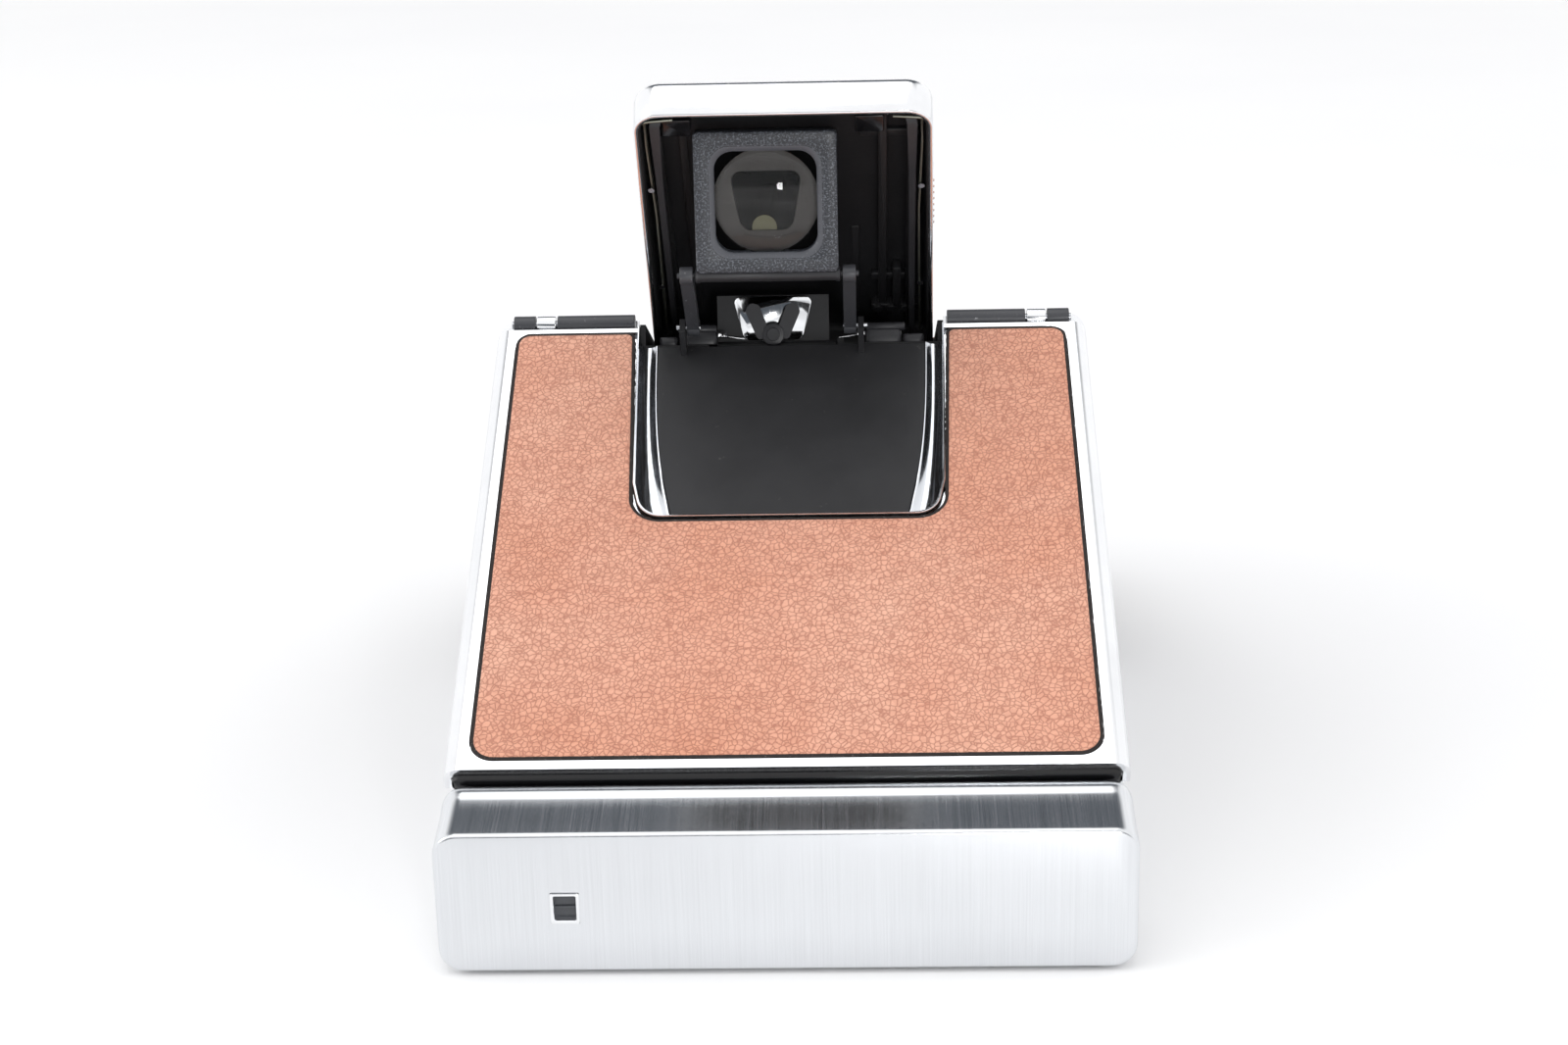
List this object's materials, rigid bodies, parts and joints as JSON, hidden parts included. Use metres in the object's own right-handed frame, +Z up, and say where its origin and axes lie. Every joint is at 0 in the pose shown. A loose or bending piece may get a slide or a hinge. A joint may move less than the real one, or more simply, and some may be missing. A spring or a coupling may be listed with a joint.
{
  "type": "instant camera",
  "caption": "Folding instant camera standing open: leather-covered cover, erected viewfinder, bellows, lens housing, film door.",
  "frame": {"origin": "floor under the middle of the whole camera, in both directions", "axes": "+Y towards the subject, out of the lens; +X to the user's right; +Z up"},
  "size_m": [0.104, 0.1782, 0.1218],
  "materials": {
    "black_plastic": "matt moulded",
    "brushed": "vertical brushed, satin",
    "bright": "polished with fine wear",
    "leather": "fine pebble grain, worn edges",
    "recess_black": "matt black, scuffed",
    "dark_metal": "dark grey, semi-gloss",
    "steel": "turned",
    "rubber": "matt",
    "brass": "satin",
    "gear_plastic": "moulded",
    "number_white": "moulded",
    "button_red": "moulded, soft gloss",
    "latch_yellow": "moulded",
    "glass_lens": "coated, clear",
    "dark_glass": "smoked",
    "mirror": "front silvered",
    "board_green": "laminate",
    "bellows_black": "pleated, matt",
    "eye_grey": "black, speckled with wear"
  },
  "bodies": {
    "base": {"base_frame": "black_plastic", "bottom_plate": "dark_metal", "rear_end_cap": "brushed", "side_trims": "brushed", "counter_window": "dark_glass", "base_screws": "steel", "feet": "rubber", "tripod_socket": "steel", "battery_contacts": "brass", "drive_motor": "steel", "gear_axles": "steel", "hinge_pins": "steel", "door_pin": "steel", "bellows": "bellows_black", "viewing_screen": "dark_glass", "strut_rivet": "steel"},
    "counter_wheel": {"counter_wheel": "number_white"},
    "motor_pinion": {"motor_pinion": "brass"},
    "first_gear": {"first_gear": "gear_plastic"},
    "second_gear": {"second_gear": "gear_plastic"},
    "pick_arm": {"pick_arm": "steel"},
    "cover_strut": {"cover_strut": "dark_metal"},
    "film_door": {"film_door": "black_plastic"},
    "door_latch": {"door_latch": "latch_yellow"},
    "upper_roller": {"upper_roller": "steel"},
    "lower_roller": {"lower_roller": "steel"},
    "rear_cover": {"rear_cover_frame": "bright", "rear_leather": "leather", "recess_rim": "bright", "recess_plate": "recess_black", "taking_mirror": "mirror", "apex_barrels": "dark_metal", "apex_pins": "steel", "leg_pin": "steel"},
    "front_cover": {"front_cover_frame": "bright", "front_leather": "leather", "front_knuckles": "bright", "finder_base": "black_plastic", "finder_springs": "steel", "cap_pin": "steel"},
    "finder_cap": {"finder_cap": "bright", "cap_grips": "bright"},
    "mirror_carrier": {"mirror_carrier": "black_plastic", "finder_mirror": "mirror"},
    "eyepiece_legs": {"eyepiece_legs": "dark_metal", "eyepiece_pin": "dark_metal"},
    "eyepiece": {"eyepiece_frame": "eye_grey", "eyepiece_lens": "glass_lens"},
    "shutter_housing": {"housing_back": "black_plastic", "housing_front": "black_plastic", "circuit_board": "board_green", "lens_barrel": "dark_metal", "rear_lens": "glass_lens", "photocell_lens": "dark_glass", "flash_socket": "black_plastic"},
    "lens_ring": {"lens_ring": "dark_metal", "front_lens": "glass_lens"},
    "focus_wheel": {"focus_wheel": "black_plastic"},
    "exposure_wheel": {"exposure_wheel": "number_white"},
    "shutter_button": {"shutter_button": "button_red"}
  },
  "joints": [
    {"name": "cover_fold", "type": "hinge", "parent": "base", "child": "rear_cover", "pos_m": [0, -0.0799, 0.022], "axis": [1, 0, 0], "range_deg": [-30.1, 0], "deforming": ["bellows"]},
    {"name": "front_cover_fold", "type": "hinge", "parent": "rear_cover", "child": "front_cover", "pos_m": [0, 0.00864, 0.07598], "axis": [1, 0, 0], "range_deg": [0, 53.5]},
    {"name": "housing_fold", "type": "hinge", "parent": "base", "child": "shutter_housing", "pos_m": [0, 0.0471, 0.019], "axis": [1, 0, 0], "range_deg": [-61.46, 0]},
    {"name": "cap_fold", "type": "hinge", "parent": "front_cover", "child": "finder_cap", "pos_m": [0, 0.02792, 0.06589], "axis": [1, 0, 0], "range_deg": [0, 26.6]},
    {"name": "leg_fold", "type": "hinge", "parent": "rear_cover", "child": "eyepiece_legs", "pos_m": [0, 0.00632, 0.07568], "axis": [1, 0, 0], "range_deg": [0, 73.27]},
    {"name": "eyepiece_fold", "type": "hinge", "parent": "eyepiece_legs", "child": "eyepiece", "pos_m": [0, -0.0067, 0.0879], "axis": [1, 0, 0], "range_deg": [0, 46.83]},
    {"name": "mirror_fold", "type": "hinge", "parent": "front_cover", "child": "mirror_carrier", "pos_m": [0, 0.01302, 0.07049], "axis": [1, 0, 0], "range_deg": [0, 80.6]},
    {"name": "strut_fold", "type": "hinge", "parent": "base", "child": "cover_strut", "pos_m": [0, 0.0281, 0.0156], "axis": [1, 0, 0], "range_deg": [0, 66.1]},
    {"name": "door_open", "type": "hinge", "parent": "base", "child": "film_door", "pos_m": [0, 0.0327, 0.0015], "axis": [1, 0, 0], "range_deg": [-80, 0]},
    {"name": "latch_slide", "type": "slide", "parent": "film_door", "child": "door_latch", "axis": [0, 1, 0], "range_m": [0, 0.003]},
    {"name": "lower_roller_spin", "type": "hinge", "parent": "film_door", "child": "lower_roller", "pos_m": [0, 0.0376, 0.00618], "axis": [1, 0, 0], "continuous": true},
    {"name": "upper_roller_spin", "type": "hinge", "parent": "film_door", "child": "upper_roller", "pos_m": [0, 0.0376, 0.01282], "axis": [1, 0, 0], "continuous": true},
    {"name": "first_gear_spin", "type": "hinge", "parent": "base", "child": "first_gear", "pos_m": [0, -0.0725, 0.0095], "axis": [1, 0, 0], "continuous": true},
    {"name": "pinion_spin", "type": "hinge", "parent": "base", "child": "motor_pinion", "pos_m": [0, -0.082, 0.0095], "axis": [1, 0, 0], "continuous": true},
    {"name": "second_gear_spin", "type": "hinge", "parent": "base", "child": "second_gear", "pos_m": [0, -0.0595, 0.0095], "axis": [1, 0, 0], "continuous": true},
    {"name": "counter_turn", "type": "hinge", "parent": "base", "child": "counter_wheel", "pos_m": [-0.0381, -0.0859, 0.0112], "axis": [0, 1, 0], "continuous": true},
    {"name": "pick_slide", "type": "slide", "parent": "base", "child": "pick_arm", "axis": [0, 1, 0], "range_m": [0, 0.008]},
    {"name": "focus_ring_turn", "type": "hinge", "parent": "shutter_housing", "child": "lens_ring", "pos_m": [0, 0.06776, 0.02769], "axis": [0, 0.8785, -0.4778], "range_deg": [-60, 60]},
    {"name": "focus_wheel_turn", "type": "hinge", "parent": "shutter_housing", "child": "focus_wheel", "pos_m": [0.034, 0.07094, 0.03563], "axis": [0, 0.8785, -0.4778], "range_deg": [-140, 140]},
    {"name": "exposure_turn", "type": "hinge", "parent": "shutter_housing", "child": "exposure_wheel", "pos_m": [-0.034, 0.07152, 0.03668], "axis": [0, 0.8785, -0.4778], "range_deg": [-50, 50]},
    {"name": "button_press", "type": "slide", "parent": "shutter_housing", "child": "shutter_button", "axis": [0, -0.8785, 0.4778], "range_m": [0, 0.0015], "stiffness_N_per_m": 300, "springref_m": -0.001}
  ],
  "couplings": [
    {"joint": "front_cover_fold", "follows": "cover_fold", "ratio": -1.7774},
    {"joint": "housing_fold", "follows": "cover_fold", "ratio": 2.0419},
    {"joint": "cap_fold", "follows": "cover_fold", "ratio": -0.88372},
    {"joint": "leg_fold", "follows": "cover_fold", "ratio": -2.4342},
    {"joint": "eyepiece_fold", "follows": "cover_fold", "ratio": -1.5559},
    {"joint": "mirror_fold", "follows": "cover_fold", "ratio": -2.6777},
    {"joint": "strut_fold", "follows": "cover_fold", "ratio": -2.196},
    {"joint": "upper_roller_spin", "follows": "lower_roller_spin", "ratio": -1},
    {"joint": "pinion_spin", "follows": "first_gear_spin", "ratio": -2.1667},
    {"joint": "second_gear_spin", "follows": "first_gear_spin", "ratio": -1},
    {"joint": "focus_wheel_turn", "follows": "focus_ring_turn", "ratio": -2.2727}
  ]
}
